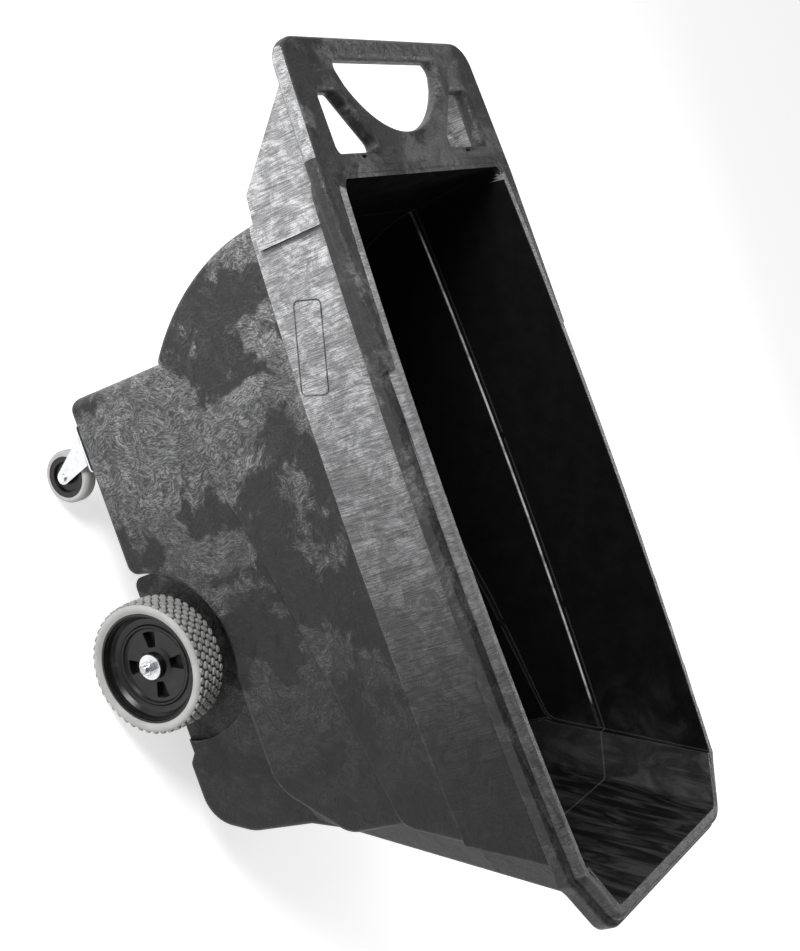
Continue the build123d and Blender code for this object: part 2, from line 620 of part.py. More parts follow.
# ---------------------------------------------------------------- casters
def caster_plate(s):
    """Top plate with the upper ball race pressed under it."""
    x, y = CASTER_X, s * CASTER_Y
    plate = Pos(x, y, DECK_Z - PLATE_T / 2) * Box(PLATE[0], PLATE[1], PLATE_T)
    plate = fillet(plate.edges().filter_by(Axis.Z), 8.0)
    race_top = DECK_Z - PLATE_T
    race = cyl_z(x, y, race_top - 7, race_top, RACE_R + 5)
    race = chamfer(race.edges().group_by(Axis.Z)[0], 2.5)
    groove = Pos(x, y, race_top - 7 - 0.4) * Torus(RACE_R - 6, BALL_D / 2 + 0.3)
    body = plate + race - groove - cyl_z(x, y, race_top - 20, race_top + 20, KINGPIN_D / 2 + SEAT)
    for bx, by in caster_bolt_places(s):
        body -= cyl_z(bx, by, race_top - 1, DECK_Z + 1, BOLT_D / 2 + 0.4)
    return body


def fork_crown_z():
    """Top face of the fork's crown."""
    return DECK_Z - PLATE_T - 7 - 0.8


def caster_balls(s):
    """Swivel balls, as one set lying in the race grooves."""
    z = fork_crown_z() + 0.4
    balls = []
    for i in range(14):
        a = 2 * math.pi * i / 14
        r = RACE_R - 6
        balls.append(Pos(CASTER_X + r * math.cos(a), s * CASTER_Y + r * math.sin(a), z) * Sphere(BALL_D / 2 - 0.05))
    return Compound(children=balls)


def kingpin(s):
    """Rivet that holds the fork under the plate: shank and lower head."""
    x, y = CASTER_X, s * CASTER_Y
    crown = fork_crown_z()
    head_top = crown - 5 - GAP
    shank = cyl_z(x, y, head_top - 4, DECK_Z - 0.3, KINGPIN_D / 2)
    return shank + cyl_z(x, y, head_top - 4, head_top, KINGPIN_D / 2 + 4)


def fork_leg_profile():
    """Side view of a fork leg: broad at the crown, tapering back to the wheel's axle."""
    x, z = CASTER_WHEEL_X, CASTER_AXLE_Z
    top = fork_crown_z()
    a, b = (CASTER_X - 26, top), (CASTER_X + 30, top)
    leg = make_hull([Line(a, b)] + [e for e in (Pos(x, z) * Circle(13)).edges()])
    return leg


def caster_fork(s):
    """Pressed steel fork: crown with its dished lower race and two legs."""
    x, y = CASTER_X, s * CASTER_Y
    top = fork_crown_z()
    leg = fork_leg_profile()
    half = FORK_GAP / 2
    body = slab(leg, y + half, y + half + FORK_T) + slab(leg, y - half - FORK_T, y - half)
    body += Pos(x + 2, y, top - 2.5) * Box(56, 2 * half + 0.2, 5)
    body -= Pos(x, y, top + 0.4) * Torus(RACE_R - 6, BALL_D / 2)
    body -= cyl_z(x, y, top - 30, top + 5, KINGPIN_D / 2 + RUN)
    return body - cyl_y(CASTER_WHEEL_X, y - 60, y + 60, CASTER_AXLE_Z, CASTER_AXLE_D / 2 + SEAT)


def caster_turned(points, s):
    """Ring turned about a caster wheel's own axis."""
    return Pos(CASTER_WHEEL_X, s * CASTER_Y, CASTER_AXLE_Z) * turned(points)


def caster_tyre(s):
    """Grey rubber tread, crowned, on the caster's hub."""
    r, half, seat = CASTER_D / 2, CASTER_TYRE_W / 2, CASTER_HUB_R + SEAT
    edges = [Line((seat, -half), (r - 6, -half)),
             ThreePointArc((r - 6, -half), (r - 1.6, -half + 4), (r, -half + 10)),
             Line((r, -half + 10), (r, half - 10)),
             ThreePointArc((r, half - 10), (r - 1.6, half - 4), (r - 6, half)),
             Line((r - 6, half), (seat, half)), Line((seat, half), (seat, -half))]
    return Pos(CASTER_WHEEL_X, s * CASTER_Y, CASTER_AXLE_Z) * revolve(make_face(edges), Axis.Y)


def caster_hub(s):
    """Moulded caster hub with a recessed web and a long boss."""
    half, bore = CASTER_TYRE_W / 2, CASTER_AXLE_D / 2 + 4
    boss = FORK_GAP / 2 - GAP
    h = half - 1
    pts = [(bore, -boss), (bore + 5, -boss), (bore + 6, -h + 6), (27, -h + 6), (30, -h), (CASTER_HUB_R, -h),
           (CASTER_HUB_R, h), (30, h), (27, h - 6), (bore + 6, h - 6), (bore + 5, boss), (bore, boss)]
    return caster_turned(pts, s)


def caster_bush(s):
    """Plain bush in the caster's hub."""
    r, boss = CASTER_AXLE_D / 2, FORK_GAP / 2 - GAP
    return caster_turned([(r + RUN, -boss), (r + 3.98, -boss), (r + 3.98, boss), (r + RUN, boss)], s)


def caster_axle_bolt(s):
    """Axle bolt with its domed head on the outer side of the fork."""
    y = s * CASTER_Y
    face = FORK_GAP / 2 + FORK_T
    shank = cyl_y(CASTER_WHEEL_X, y - s * (face + 9), y + s * face, CASTER_AXLE_Z, CASTER_AXLE_D / 2)
    head = cyl_y(CASTER_WHEEL_X, y + s * face, y + s * (face + 5), CASTER_AXLE_Z, 8)
    outer = head.edges().filter_by(GeomType.CIRCLE).sort_by(Axis.Y)[-1 if s > 0 else 0]
    return shank + fillet(outer, 3.5)


def caster_axle_nut(s):
    """Lock nut on the inner side of the fork."""
    y0 = s * (CASTER_Y - FORK_GAP / 2 - FORK_T)
    blank = Rot(90, 0, 0) * extrude(RegularPolygon(8.5, 6, major_radius=False), amount=4, both=True)
    return (Pos(CASTER_WHEEL_X, y0 - s * 4, CASTER_AXLE_Z) * blank
            - cyl_y(CASTER_WHEEL_X, y0 - s * 9, y0 + s, CASTER_AXLE_Z, CASTER_AXLE_D / 2 + SEAT))


def deck_hardware(s, tag):
    """Bolts from below through plate and deck, with washers and nuts inside the tub."""
    bolts, washers, nuts = [], [], []
    inside, under = DECK_Z + WALL, DECK_Z - PLATE_T
    for x, y in caster_bolt_places(s):
        bolts.append(cyl_z(x, y, under - 0.1, inside + 13, BOLT_D / 2) + hex_z(x, y, under - 5.5, under, 13))
        washers.append(cyl_z(x, y, inside, inside + 2, WASHER_SMALL_R) - cyl_z(x, y, inside - 1, inside + 3, BOLT_D / 2 + 0.4))
        nuts.append(hex_z(x, y, inside + 2, inside + 9, 13) - cyl_z(x, y, inside, inside + 10, BOLT_D / 2 + SEAT))
    add(f"caster_bolts_{tag}", Compound(children=bolts))
    add(f"caster_washers_{tag}", Compound(children=washers))
    add(f"caster_nuts_{tag}", Compound(children=nuts))


def caster(s, tag):
    """One swivel caster and what bolts it on."""
    add(f"caster_plate_{tag}", caster_plate(s))
    add(f"caster_kingpin_{tag}", kingpin(s))
    add(f"caster_balls_{tag}", caster_balls(s))
    add(f"caster_fork_{tag}", caster_fork(s))
    add(f"caster_tyre_{tag}", caster_tyre(s))
    add(f"caster_hub_{tag}", caster_hub(s))
    add(f"caster_bush_{tag}", caster_bush(s))
    add(f"caster_axle_bolt_{tag}", caster_axle_bolt(s))
    add(f"caster_axle_nut_{tag}", caster_axle_nut(s))
    deck_hardware(s, tag)


# ---------------------------------------------------------------- the whole cart
def place(shape):
    """Moves a finished piece so that the cart's origin lies under its middle."""
    return Pos(-ORIGIN_X, 0, 0) * shape


tub_nodes(tub())
add("main_axle", axle())
for sign, name in ((1, "left"), (-1, "right")):
    add(f"axle_clamp_{name}", axle_clamp(sign))
    main_wheel(sign, name)
    caster(sign, name)
add("clamp_screws", clamp_screws())

os.makedirs("parts", exist_ok=True)
for name, shape in nodes.items():
    export_step(place(shape), f"parts/{name}.step")
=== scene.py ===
import bpy
import math
from mathutils import Matrix, Vector


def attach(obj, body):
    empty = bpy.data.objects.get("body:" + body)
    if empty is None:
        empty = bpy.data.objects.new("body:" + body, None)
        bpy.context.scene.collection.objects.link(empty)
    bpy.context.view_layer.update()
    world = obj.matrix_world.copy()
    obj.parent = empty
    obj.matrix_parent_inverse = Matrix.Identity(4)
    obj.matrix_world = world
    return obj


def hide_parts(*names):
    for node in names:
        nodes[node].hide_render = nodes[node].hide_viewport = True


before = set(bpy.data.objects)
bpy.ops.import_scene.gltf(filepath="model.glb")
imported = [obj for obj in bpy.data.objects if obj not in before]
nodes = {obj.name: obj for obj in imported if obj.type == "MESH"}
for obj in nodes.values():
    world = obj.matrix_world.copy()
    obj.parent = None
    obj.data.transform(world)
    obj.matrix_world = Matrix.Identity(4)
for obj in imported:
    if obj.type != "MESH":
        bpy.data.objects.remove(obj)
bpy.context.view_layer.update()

# ---------------------------------------------------------------- moulded polyethylene
# The tub and handle are one rotationally moulded black shell with silvery flow marks: fine upright
# fibres on the band under the rim, their brightness partly painted sheen, and cloudy swirls on the body.
# They are paler at the heel than at the mouth: a painted light falloff.
# Lengths here and below are metres from the cart's origin on the floor.
RIM_Z = 0.847
FOLD_Z = 0.642
CUTS_X = (-0.586, -0.048, 0.316)        # flat cuts between the moulding's nodes
FALLOFF_X = (-0.55, 0.5)                   # where the painted light falloff towards the mouth starts, and ends
MOULDED = ["handle_frame", "tub_upper", "tub_heel", "tub_arches", "tub_nose"]
SURFACE = [("Base Color", "NodeSocketColor"), ("Roughness", "NodeSocketFloat"),
           ("Height", "NodeSocketFloat")]


def fill_socket(tree, socket, value):
    """Links a socket to another, or gives it a plain value."""
    if isinstance(value, bpy.types.NodeSocket):
        tree.links.new(value, socket)
    elif socket.type == "RGBA" and len(value) == 3:
        socket.default_value = (*value, 1.0)
    else:
        socket.default_value = value


def node(tree, kind, inputs=(), **settings):
    n = tree.nodes.new(kind)
    for key, value in settings.items():
        setattr(n, key, value)
    for key, value in dict(inputs).items():
        fill_socket(tree, n.inputs[key], value)
    return n


def noise(tree, vector, scale, detail=3.0, roughness=0.55, distortion=0.0):
    values = {"Vector": vector, "Scale": scale, "Detail": detail, "Roughness": roughness,
              "Distortion": distortion}
    return node(tree, "ShaderNodeTexNoise", values).outputs["Fac"]


def vector_node(tree, operation, *values):
    return node(tree, "ShaderNodeVectorMath", enumerate(values), operation=operation)


def stretch(tree, vector, scale):
    return vector_node(tree, "MULTIPLY", vector, scale).outputs[0]


def ramp(tree, value, low, high, out_low=0.0, out_high=1.0):
    """Smooth step from low to high."""
    values = {"Value": value, "From Min": low, "From Max": high, "To Min": out_low, "To Max": out_high}
    return node(tree, "ShaderNodeMapRange", values, interpolation_type="SMOOTHSTEP").outputs["Result"]


def math_node(tree, operation, a, b=0.0):
    return node(tree, "ShaderNodeMath", {0: a, 1: b}, operation=operation).outputs[0]


def times(tree, a, b):
    return math_node(tree, "MULTIPLY", a, b)


def distance_to(tree, value, place):
    return math_node(tree, "ABSOLUTE", math_node(tree, "SUBTRACT", value, place))


def mix_colour(tree, factor, a, b):
    return node(tree, "ShaderNodeMix", {0: factor, 6: a, 7: b}, data_type="RGBA").outputs[2]


def edge_mask(tree, x, radius, low=0.02, high=0.16):
    """Mask of the folds, for pale wear and painted highlight there, but not at the flat cuts between the
    moulding's nodes.
    """
    soft = node(tree, "ShaderNodeBevel", {"Radius": radius}, samples=4).outputs[0]
    plain = tree.nodes.new("ShaderNodeNewGeometry").outputs["Normal"]
    dot = vector_node(tree, "DOT_PRODUCT", soft, plain).outputs["Value"]
    mask = ramp(tree, math_node(tree, "SUBTRACT", 1.0, dot), low, high)
    for cut in CUTS_X:
        mask = times(tree, mask, ramp(tree, distance_to(tree, x, cut), 0.004, 0.009))
    return mask


def new_group(name, inputs=(), outputs=SURFACE):
    """Starts a node group: its tree, its own inputs by name, the object's coordinates, its end."""
    tree = bpy.data.node_groups.new(name, "ShaderNodeTree")
    for label, kind in inputs:
        tree.interface.new_socket(label, in_out="INPUT", socket_type=kind)
    for label, kind in outputs:
        tree.interface.new_socket(label, in_out="OUTPUT", socket_type=kind)
    coords = tree.nodes.new("ShaderNodeTexCoord").outputs["Object"]
    given = tree.nodes.new("NodeGroupInput").outputs
    return tree, given, coords, tree.nodes.new("NodeGroupOutput")


def close_group(tree, out, colour, rough, height):
    tree.links.new(colour, out.inputs["Base Color"])
    tree.links.new(rough, out.inputs["Roughness"])
    tree.links.new(height, out.inputs["Height"])


def new_material(name, group=None, group_values=(), **values):
    """Principled material: a group for what changes over the surface, the rest on its sockets."""
    mat = bpy.data.materials.new(name)
    mat.use_nodes = True
    tree = mat.node_tree
    shader = tree.nodes["Principled BSDF"]
    for key, value in values.items():
        fill_socket(tree, shader.inputs[key.replace("_", " ")], value)
    if group:
        placed = node(tree, "ShaderNodeGroup", group_values, node_tree=group)
        for label in ("Base Color", "Roughness"):
            tree.links.new(placed.outputs[label], shader.inputs[label])
        bump = node(tree, "ShaderNodeBump", {"Height": placed.outputs["Height"], "Strength": 1.0,
                                             "Distance": 1.0})
        tree.links.new(bump.outputs[0], shader.inputs["Normal"])
    return mat


def flow_mark_group():
    """Silvery flow marks: patches broken up by cracks, fibres and grain, with a painted light falloff
    towards the mouth, and pale wear and painted highlight on the folds.
    """
    tree, given, p, out = new_group("flow_marks", [
        ("Dark", "NodeSocketColor"), ("Pale", "NodeSocketColor"),
        ("Fibre Scale", "NodeSocketVector"), ("Patch Low", "NodeSocketFloat"),
        ("Patch High", "NodeSocketFloat"), ("Warp", "NodeSocketFloat"),
        ("Mouth Light Falloff", "NodeSocketFloat"), ("Fineness", "NodeSocketFloat"),
        ("Patch Floor", "NodeSocketFloat"), ("Edge Wear And Highlight", "NodeSocketFloat")])
    lump = node(tree, "ShaderNodeTexNoise", {"Vector": p, "Scale": 3.4, "Detail": 4.0,
                                             "Roughness": 0.6}).outputs["Color"]
    centred = vector_node(tree, "SUBTRACT", lump, (0.5, 0.5, 0.5)).outputs[0]
    bent = vector_node(tree, "MULTIPLY_ADD", centred, given["Warp"], p).outputs[0]
    patches = ramp(tree, noise(tree, bent, 5.6, 9.0, 0.64), given["Patch Low"], given["Patch High"])
    cracks = ramp(tree, noise(tree, bent, 26.0, 8.0, 0.74, 0.9), 0.4, 0.62)
    fibres = noise(tree, stretch(tree, bent, given["Fibre Scale"]), 1.0, 4.0, 0.68)
    hair = ramp(tree, fibres, 0.38, 0.64)
    grain = ramp(tree, noise(tree, p, 620.0, 3.0, 0.7), 0.32, 0.68)
    x = node(tree, "ShaderNodeSeparateXYZ", {0: p}).outputs["X"]
    # painted light falloff: the marks are brightest at the heel and fade towards the mouth
    painted_falloff = ramp(tree, x, *FALLOFF_X, 1.0, given["Mouth Light Falloff"])
    crack_low = math_node(tree, "SUBTRACT", 1.0, times(tree, given["Fineness"], 0.55))
    hair_low = math_node(tree, "SUBTRACT", 1.0, times(tree, given["Fineness"], 0.8))
    amount = times(tree, ramp(tree, patches, 0.0, 1.0, given["Patch Floor"], 1.0),
                   ramp(tree, cracks, 0.0, 1.0, crack_low, 1.0))
    amount = times(tree, amount, ramp(tree, hair, 0.0, 1.0, hair_low, 1.0))
    amount = times(tree, amount, painted_falloff)
    amount = times(tree, amount, ramp(tree, grain, 0.0, 1.0, 0.68, 1.15))
    # pale wear and painted highlight along the folds, broken up by the cracks
    fold_wear_and_highlight = times(tree, edge_mask(tree, x, 0.004), given["Edge Wear And Highlight"])
    fold_wear_and_highlight = times(tree, fold_wear_and_highlight, ramp(tree, cracks, 0.0, 1.0, 0.3, 1.0))
    amount = math_node(tree, "ADD", amount, fold_wear_and_highlight)
    colour = mix_colour(tree, amount, given["Dark"], given["Pale"])
    rough = ramp(tree, amount, 0.0, 1.0, 0.36, 0.58)
    height = math_node(tree, "ADD", times(tree, fibres, 0.0004), times(tree, cracks, 0.0007))
    close_group(tree, out, colour, rough, height)
    return tree


def flow_marks(dark, pale, fibres, patches, warp, light_falloff, fineness, floor, wear_and_highlight):
    return {"Dark": dark, "Pale": pale, "Fibre Scale": fibres, "Patch Low": patches[0],
            "Patch High": patches[1], "Warp": warp, "Mouth Light Falloff": light_falloff, "Fineness": fineness,
            "Patch Floor": floor, "Edge Wear And Highlight": wear_and_highlight}


def inside_group():
    """Inside of the tub: almost black, partly its own black and partly painted shade, with greyer
    marbling towards the mouth where the painted shade lifts, and a painted highlight along the fold and
    on its folded edges.
    """
    tree, _, p, out = new_group("tub_inside_shaded")
    parts = node(tree, "ShaderNodeSeparateXYZ", {0: p}).outputs
    wear_and_highlight = noise(tree, p, 30.0, 5.0, 0.65)
    # painted highlight in a thin line just under the fold, broken up by noise
    fold_highlight_z = FOLD_Z - 0.0095
    line = times(tree, ramp(tree, distance_to(tree, parts["Z"], fold_highlight_z), 0.0022, 0.0008),
                 ramp(tree, wear_and_highlight, 0.3, 0.55, 0.35, 1.0))
    side = ramp(tree, math_node(tree, "ABSOLUTE", parts["Y"]), 0.27, 0.29)
    ends = times(tree, ramp(tree, parts["X"], -0.5, -0.44), ramp(tree, parts["X"], 0.53, 0.5))
    line = times(tree, times(tree, line, side), ends)
    folds = times(tree, edge_mask(tree, parts["X"], 0.005, 0.05, 0.3), 0.14)
    line = math_node(tree, "MAXIMUM", line, folds)
    marble = noise(tree, stretch(tree, p, (1.0, 4.0, 1.0)), 9.0, 7.0, 0.65, 0.8)
    mouth = times(tree, ramp(tree, marble, 0.42, 0.66), ramp(tree, parts["X"], 0.45, 0.7, 0.02, 0.7))
    # near black, partly the moulding's own black and partly painted shade; greyer marbling towards the
    # mouth
    colour = mix_colour(tree, mouth, (0.004, 0.004, 0.004), (0.05, 0.05, 0.052))
    # painted highlight along the fold and on the folded edges
    colour = mix_colour(tree, line, colour, (0.5, 0.5, 0.5))
    close_group(tree, out, colour, ramp(tree, wear_and_highlight, 0.3, 0.7, 0.42, 0.6), times(tree, wear_and_highlight, 0.0006))
    return tree


marks = flow_mark_group()
# In each finish, the sixth value is how much of the painted light falloff is left at the mouth, and the
# last is the strength of the pale wear and painted highlight on the folds.
tub_body = new_material("tub_swirled", marks, flow_marks(
    (0.005, 0.005, 0.006), (0.3, 0.3, 0.305), (420.0, 420.0, 60.0), (0.45, 0.53),
    0.22, 0.06, 1.0, 0.12, 0.16), Specular_IOR_Level=0.3)
tub_band = new_material("tub_band", marks, flow_marks(
    (0.007, 0.007, 0.008), (0.6, 0.6, 0.61), (900.0, 900.0, 22.0), (0.12, 0.5),
    0.014, 0.03, 0.8, 0.5, 0.1), Specular_IOR_Level=0.22)
tub_rim = new_material("rim_flange", marks, flow_marks(
    (0.006, 0.006, 0.007), (0.14, 0.14, 0.143), (260.0, 260.0, 120.0), (0.44, 0.56),
    0.12, 0.4, 0.9, 0.1, 0.12), Specular_IOR_Level=0.42)
# The rounded bead is painted pale as a highlight, fading towards the mouth.
tub_bead_highlight = new_material("rim_bead_highlight", marks, flow_marks(
    (0.02, 0.02, 0.021), (0.4, 0.4, 0.41), (420.0, 60.0, 40.0), (0.2, 0.55),
    0.03, 0.3, 0.7, 0.45, 0.0), Specular_IOR_Level=0.45)
tub_inside_shaded = new_material("tub_inside_shaded", inside_group(), Specular_IOR_Level=0.12)


# ---------------------------------------------------------------- tub and handle
# The moulding's nodes carry both its outside and its hollow, so each face is sorted by its place
# and the way it looks: bead, flange, band, body or inside. Their shapes stay as they are.
WHEEL_X, WHEEL_Y, WHEEL_Z = 0.134, 0.3095, 0.127
TUB_REAR_X = -0.548                     # inner rear corner of the rim
BOW_X, BOW_HALF = 0.110, 0.338          # where the sides bow out most, and how far
BOW_SPAN, BOW_SAG = 0.671, 0.034
BEAD_REACH = 0.0137
BEAD_LOW_Z = 0.8315
FLANGE_LOW_Z = RIM_Z - 0.0462


def rim_half(x):
    """Half-width of the bead's centre line at x, along the bowed side."""
    radius = (BOW_SPAN ** 2 + BOW_SAG ** 2) / (2 * BOW_SAG)
    return BOW_HALF - radius + math.sqrt(radius ** 2 - (x - BOW_X) ** 2)


def bead_line():
    """Centre line of the bead as plan points, half of it; the other half mirrors it."""
    pts = [(-0.561, y / 100) for y in range(0, 27, 2)]
    pts += [(-0.561 + 0.048 * (1 - math.cos(a)), 0.256 + 0.048 * math.sin(a))
            for a in (0.3, 0.6, 0.9, 1.2, 1.5)]
    pts += [(-0.51 + i * 0.0119, rim_half(-0.51 + i * 0.0119)) for i in range(100)]
    pts += [(0.69, 0.303), (0.712, 0.289), (0.734, 0.274), (0.756, 0.26), (0.773, 0.246)]
    return pts + [(0.776, y / 100) for y in range(0, 25, 2)]


BEAD = bead_line()


def off_bead(x, y):
    return min(math.hypot(x - a, abs(y) - b) for a, b in BEAD)


def is_inside(c, n):
    """Whether a face of the moulding belongs to its hollow, by its middle and normal."""
    out_y = abs(c.y)
    off_wheel_x, off_wheel_z = c.x - WHEEL_X, c.z - WHEEL_Z
    if c.x < TUB_REAR_X - 0.004 and c.z > 0.63 or c.z > 0.835:
        return False
    if c.z > RIM_Z - 0.05 and c.x < 0.66 and out_y > rim_half(c.x) + 0.002:
        return False
    in_well = out_y > 0.228 and c.z < 0.31 and math.hypot(off_wheel_x, off_wheel_z) < 0.181
    if in_well and abs(n.y) < 0.6:
        return off_wheel_x * n.x + off_wheel_z * n.z > 0
    if abs(off_wheel_x) < 0.03 and c.z < 0.16:      # the axle's channel
        return abs(off_wheel_x) > 0.021 or c.z > 0.142
    if abs(n.z) > 0.72 and c.z < 0.8:
        return n.z > 0
    if abs(n.y) > 0.5:
        return n.y * (1 if c.y > 0 else -1) < 0
    if c.x > 0.25:
        return n.x < 0
    return n.x > 0 if c.x < 0.1 else n.z > 0


def paint(name, finishes, sort_face):
    """Gives a CAD node its finishes, one per face, without touching its shape."""
    mesh = nodes[name].data
    mesh.materials.clear()
    for finish in finishes:
        mesh.materials.append(finish)
    for face in mesh.polygons:
        face.material_index = sort_face(face.center, face.normal)


def upper_face(c, n):
    # The bead's pale finish, a painted highlight, stops short of the rear end, which keeps the darker
    # flange finish.
    if c.z > BEAD_LOW_Z and c.x > -0.53 and off_bead(c.x, c.y) < BEAD_REACH:
        return 2
    if is_inside(c, n):
        return 3
    return 1 if c.z > FLANGE_LOW_Z else 0


def body_face(c, n):
    return 1 if is_inside(c, n) else 0


def handle_face(c, n):
    # Sideways faces take the pale band finish, partly painted sheen; the rest take the dark rim finish.
    return 0 if abs(n.y) > 0.75 and abs(c.y) > 0.29 else 1


paint("tub_upper", [tub_band, tub_rim, tub_bead_highlight, tub_inside_shaded], upper_face)
for name in ("tub_heel", "tub_arches", "tub_nose"):
    paint(name, [tub_body, tub_inside_shaded], body_face)
paint("handle_frame", [tub_band, tub_rim], handle_face)


# ---------------------------------------------------------------- label frame
# A thin raised outline moulded into the band near its heel end on the open side, where a label
# would go: a rounded rectangle that leans with the tub. It is left blank.
LABEL_X, LABEL_Z = -0.303, 0.692
LABEL_LEAN = math.radians(-15.0)
LABEL_HALF = (0.0805, 0.0275)
LABEL_CORNER = 0.009
LABEL_STEP = 0.006
LABEL_RIDGE = ((-0.0016, -0.0006), (-0.0007, 0.0011), (0.0007, 0.0011), (0.0016, -0.0006))


def make_mesh(name, verts, faces, mats, indices=None, smooth=True):
    mesh = bpy.data.meshes.new(name)
    mesh.from_pydata(verts, [], faces)
    for m in mats:
        mesh.materials.append(m)
    for i, face in enumerate(mesh.polygons):
        face.use_smooth = smooth
        if indices:
            face.material_index = indices[i]
    mesh.update()
    obj = bpy.data.objects.new(name, mesh)
    bpy.context.scene.collection.objects.link(obj)
    return obj


def label_outline(half_long, half_tall, corner):
    """Closed outline of a rounded rectangle about its middle, as points and outward directions."""
    pts = []
    for sx, sy, start in ((1, 1, 0), (-1, 1, 90), (-1, -1, 180), (1, -1, 270)):
        for step in range(7):
            a = math.radians(start + 15 * step)
            pts.append((sx * (half_long - corner) + corner * math.cos(a),
                        sy * (half_tall - corner) + corner * math.sin(a), math.cos(a), math.sin(a)))
    dense = []
    for i, here in enumerate(pts):
        after = pts[(i + 1) % len(pts)]
        parts = max(1, int(math.hypot(after[0] - here[0], after[1] - here[1]) / LABEL_STEP))
        for k in range(parts):
            dense.append(tuple(a + (b - a) * k / parts for a, b in zip(here, after)))
    return dense


def label_frame():
    """Ridge along the outline, laid on the band by casting each point onto it."""
    verts, faces = [], []
    outline = label_outline(*LABEL_HALF, LABEL_CORNER)
    for x, z, nx, nz in outline:
        for out, lift in LABEL_RIDGE:
            px, pz = x + nx * out, z + nz * out
            wx = LABEL_X + px * math.cos(LABEL_LEAN) - pz * math.sin(LABEL_LEAN)
            wz = LABEL_Z + px * math.sin(LABEL_LEAN) + pz * math.cos(LABEL_LEAN)
            _, at, normal, _ = nodes["tub_upper"].ray_cast(Vector((wx, -1.0, wz)), Vector((0, 1, 0)))
            verts.append(tuple(at + normal * lift))
    for i in range(len(outline)):
        j = (i + 1) % len(outline)
        for k in range(4):
            m = (k + 1) % 4
            faces.append((i * 4 + k, i * 4 + m, j * 4 + m, j * 4 + k))
    return make_mesh("label_frame", verts, faces, [tub_rim])


label = label_frame()
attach(label, "cart")


# ---------------------------------------------------------------- tyres
# Grey semi-pneumatic tyres: a pale smooth sidewall with moulded rings, and a tread of small
# blocks in staggered rows, painted a little darker than the sidewall as shade, with the floor between
# the blocks painted near black as shade. They take the place of the plain CAD tyres.
TYRE_R, TYRE_HALF = 0.127, 0.0375
TYRE_STEPS = 144
TREAD_ROWS, BLOCKS_PER_ROW = 6, 44
BLOCK_TURN = math.radians(34.0)
BLOCK_LONG = 0.0076
BLOCK = ((-1.0, -0.3), (-0.6, -0.62), (0.6, -0.62), (1.0, -0.3),
         (1.0, 0.3), (0.6, 0.62), (-0.6, 0.62), (-1.0, 0.3))


def rubber_group():
    tree, given, p, out = new_group("rubber", [
        ("Low", "NodeSocketColor"), ("High", "NodeSocketColor"), ("Dust", "NodeSocketColor")])
    cloud = noise(tree, p, 22.0, 5.0, 0.6)
    fine = noise(tree, p, 900.0, 2.0)
    colour = mix_colour(tree, ramp(tree, cloud, 0.3, 0.7), given["Low"], given["High"])
    colour = mix_colour(tree, times(tree, ramp(tree, fine, 0.5, 0.8), 0.35), colour, given["Dust"])
    height = math_node(tree, "ADD", times(tree, fine, 0.00012), times(tree, cloud, 0.0004))
    close_group(tree, out, colour, ramp(tree, cloud, 0.3, 0.7, 0.55, 0.75), height)
    return tree


rubber = rubber_group()


def rubber_finish(name, low, high, dust):
    return new_material(name, rubber, {"Low": low, "High": high, "Dust": dust})


tyre_side = rubber_finish("tyre_sidewall", (0.34, 0.34, 0.335), (0.42, 0.42, 0.41), (0.5, 0.5, 0.49))
tyre_tread = rubber_finish("tyre_tread", (0.22, 0.22, 0.215), (0.32, 0.32, 0.31), (0.42, 0.42, 0.41))
tyre_groove_shaded = rubber_finish("tyre_groove_shaded", (0.03, 0.03, 0.03), (0.055, 0.055, 0.054),
                            (0.09, 0.09, 0.088))


def revolve_rings(profile, steps):
    """Ring of a closed profile of (radius, y) points about the Y axis: points and faces."""
    verts, faces = [], []
    count = len(profile)
    for i in range(steps):
        a = 2 * math.pi * i / steps
        verts += [(r * math.cos(a), y, r * math.sin(a)) for r, y in profile]
    for i in range(steps):
        j = (i + 1) % steps
        for k in range(count):
            m = (k + 1) % count
            faces.append((i * count + k, i * count + m, j * count + m, j * count + k))
    return verts, faces


def tyre_carcass():
    """Section of the tyre under its tread blocks, from seat to shoulder, with sidewall rings."""
    half = [(0.0981, 0.0), (0.0981, 0.0272), (0.1052, 0.0276), (0.1054, 0.0333), (0.1062, 0.0341),
            (0.1078, 0.0341), (0.1084, 0.0347), (0.1110, 0.0362), (0.1150, 0.0371),
            (0.1178, 0.0366), (0.1205, 0.0351), (0.1222, 0.0325), (0.1228, 0.0290),
            (0.1232, 0.0150), (0.1233, 0.0)]
    return half + [(r, -y) for r, y in reversed(half[1:-1])]


def tread_blocks(verts, faces):
    """Staggered rows of small blocks round the tyre, each a low pyramid with a cut top."""
    pitch = 2 * TYRE_HALF * 0.93 / TREAD_ROWS
    for row in range(TREAD_ROWS):
        off_middle = row - (TREAD_ROWS - 1) / 2
        at_shoulder = abs(off_middle) > TREAD_ROWS / 2 - 1
        top_r = TYRE_R - (0.0012 if at_shoulder else 0.0) - 0.00005
        base_r = 0.1205 if at_shoulder else 0.1222
        turn = BLOCK_TURN if row % 2 else -BLOCK_TURN
        outline = [(u * math.cos(turn) - v * math.sin(turn), u * math.sin(turn) + v * math.cos(turn))
                   for u, v in BLOCK]
        for i in range(BLOCKS_PER_ROW):
            mid = 2 * math.pi * (i + 0.5 * (row % 2)) / BLOCKS_PER_ROW
            start = len(verts)
            for r, scale in ((base_r, 1.1), (top_r - 0.0008, 0.9), (top_r, 0.76)):
                for u, v in outline:
                    a = mid + u * BLOCK_LONG / TYRE_R * scale
                    y = off_middle * pitch + v * pitch * 0.5 * scale
                    verts.append((r * math.cos(a), y, r * math.sin(a)))
            for level in (start, start + 8):
                for k in range(8):
                    m = (k + 1) % 8
                    faces.append((level + k, level + m, level + 8 + m, level + 8 + k))
            faces.append(tuple(range(start + 16, start + 24)))


